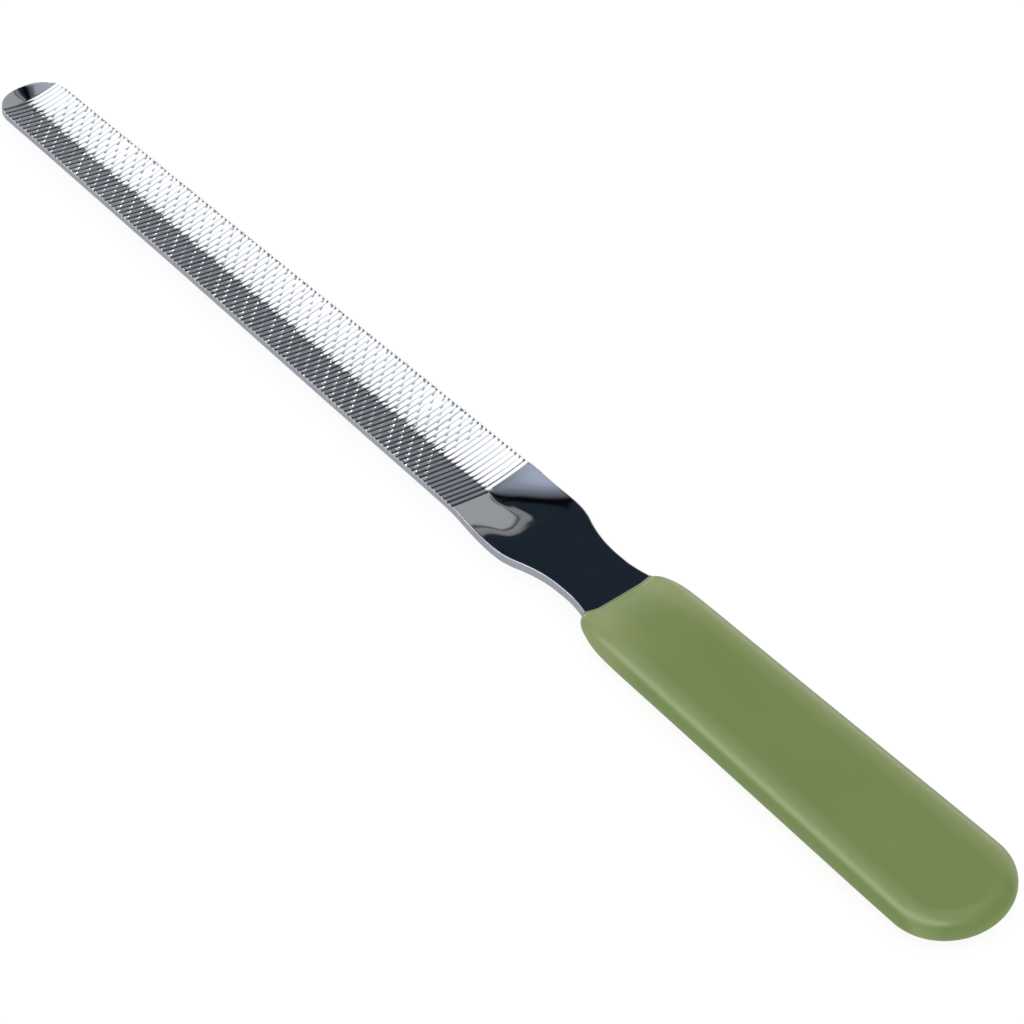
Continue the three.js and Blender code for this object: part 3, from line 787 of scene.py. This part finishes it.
# dark side of the studio, seen by the steep ends of the lands
DIM = greys((-90, 0.35, 0), (-24, 0.30, 0.2), (-15, 0.10, 0.2), (8, 0.12, 0.2), (12, 0.68, 0.2),
            (21, 0.66, 0.2), (26, 0.32, 0.3), (32, 0.07, 0.6), (38, 0.060, 0.9), (90, 0.060, 0.9))
# lamp toward +X that catches one wall of each nick of the second cut
SIDE_LAMP = greys((-90, 0.4, 0), (-20, 0.04, 0), (26, 0.04, 0), (38, 5.0, 0), (50, 4.6, 0),
                  (62, 2.4, 0), (84, 0.4, 0))
# X below which a direction is dim: strokes that taper from the crease; kept positive by adding 1
LIMIT = greys(*((angle, level + 1, 0) for angle, level in (
    (-90, -0.62), (12, -0.61), (16, -0.57), (20, -0.46), (24, -0.32),
    (28, -0.22), (36, -0.12), (42, -0.08), (90, -0.06))))
EVEN = greys((-90, 1.0, 0), (0, 1.0, 0), (90, 1.0, 0))
# soft lamps that draw the line along the grip's rounded edge and round its butt end:
# direction, spread in degrees, power
LAMP_CORE = 7
LAMPS = (((0.47, 0.55, 0.69), 18, 3.4), ((0.13, 0.55, 0.82), 17, 3.9),
         ((-0.22, 0.49, 0.84), 17, 4.4), ((-0.45, 0.27, 0.85), 15, 4.4))


def angle_ramp(net, position, stops):
    node = net.node("ShaderNodeValToRGB")
    node.color_ramp.interpolation = "LINEAR"
    elements = node.color_ramp.elements
    for i, (angle, colour) in enumerate(stops):
        place = (angle + 90.0) / 180.0
        if i < 2:
            elements[i].position = place
            elements[i].color = colour
        else:
            elements.new(place).color = colour
    net.put(node.inputs[0], position)
    return node.outputs[0]


def panel_view(net, position, grade, gap_end, far_start):
    return angle_ramp(net, position, grade + [
        (33.4, grey(0.003)), (gap_end - 0.4, grey(0.003)), (gap_end, NAVY), (far_start, NAVY),
        (far_start + 0.25, grey(0.19, 0.2))] + FAR_PANELS)


def build_world():
    world = bpy.data.worlds.new("studio")
    bpy.context.scene.world = world
    net = Net(world, "ShaderNodeOutputWorld")
    background = net.node("ShaderNodeBackground")
    net.put(net.surface, background.outputs[0])
    x, y, z = net.split(net.coord("Generated"))
    angle = net.math("DEGREES", net.math("ARCTAN2", net.math("MULTIPLY", y, -1.0),
                                         net.math("MAXIMUM", z, 0.0001)))
    position = net.step(angle, over=(-90.0, 90.0), kind="LINEAR")

    # low X pulls the far panels outward
    pull = net.math("MULTIPLY", net.step(x, over=(0.50, 0.38), kind="LINEAR"),
                    net.step(angle, over=(40.5, 46.0), onto=(0.0, 3.2 / 180), kind="LINEAR"))
    pulled = net.math("SUBTRACT", position, pull)
    panel = panel_view(net, pulled, *FIRST_VIEW)
    for over, view in NEXT_VIEWS:
        panel = net.mix(net.step(x, over), panel, panel_view(net, pulled, *view))

    lit = angle_ramp(net, position, LIT)
    dim = angle_ramp(net, position, DIM)
    side_lamp = angle_ramp(net, position, SIDE_LAMP)
    limit = net.math("SUBTRACT", angle_ramp(net, position, LIMIT), 1.0)
    light = net.mix(net.step(net.math("SUBTRACT", x, limit), over=(-0.07, 0.07)), dim, lit)
    light = net.mix(net.step(x, over=(0.20, 0.24)), light, panel)
    light = net.mix(net.step(x, over=(0.74, 0.80)), light, side_lamp)
    for direction, spread, power in LAMPS:
        length = math.sqrt(sum(part * part for part in direction))
        along_x, along_y, along_z = (net.math("MULTIPLY", axis, part / length)
                                     for axis, part in zip((x, y, z), direction))
        facing = net.math("ADD", net.math("ADD", along_x, along_y), along_z)
        cone = (math.cos(math.radians(spread)), math.cos(math.radians(LAMP_CORE)))
        light = net.mix(net.step(facing, over=cone), light, grey(power, 0))

    # only reflections see the studio; other rays get an even white
    path = net.node("ShaderNodeLightPath")
    even = angle_ramp(net, position, EVEN)
    light = net.mix(path.outputs["Is Glossy Ray"], even, light)
    light = net.mix(path.outputs["Is Camera Ray"], light, grey(1.0, 0))
    net.put(background.inputs["Color"], light)
    background.inputs["Strength"].default_value = 1.0
    if hasattr(world, "cycles"):
        world.cycles.sampling_method = "NONE"


build_world()

# ------------------------------------------------------------------ camera
CAMERA_STATION, CAMERA_Y, CAMERA_RISE = 423.06219791, 323.54693011, 439.40175149
# the camera's own x, y and z axes
CAMERA_AXES = (
    (-0.6610355314213262, -0.7468499165109707, 0.07243775539096056),
    (0.5581240454906379, -0.42486600865259844, 0.7127316637674898),
    (-0.5015272435707645, 0.5115702072044129, 0.6976864245899764))


def build_camera():
    data = bpy.data.cameras.new("camera")
    data.sensor_width = 36.0
    data.lens = 165.234375
    data.clip_start = 0.01
    data.clip_end = 50.0
    obj = bpy.data.objects.new("camera", data)
    bpy.context.scene.collection.objects.link(obj)
    pose = Matrix(CAMERA_AXES).transposed().to_4x4()
    place = (x_at(CAMERA_STATION), CAMERA_Y, CAMERA_RISE + EDGE_Z)
    pose.translation = [value / 1000.0 for value in place]
    obj.matrix_world = pose
    bpy.context.scene.camera = obj


build_camera()
bpy.context.scene.view_settings.view_transform = "Standard"
bpy.context.scene.view_settings.look = "None"

# ------------------------------------------------------------------ tie to the frame
for piece, replaced, slot in ((blade, "file_blank", "plated_steel"),
                              (grip, "dipped_grip", "soft_vinyl")):
    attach(piece, "root")
    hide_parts(replaced)
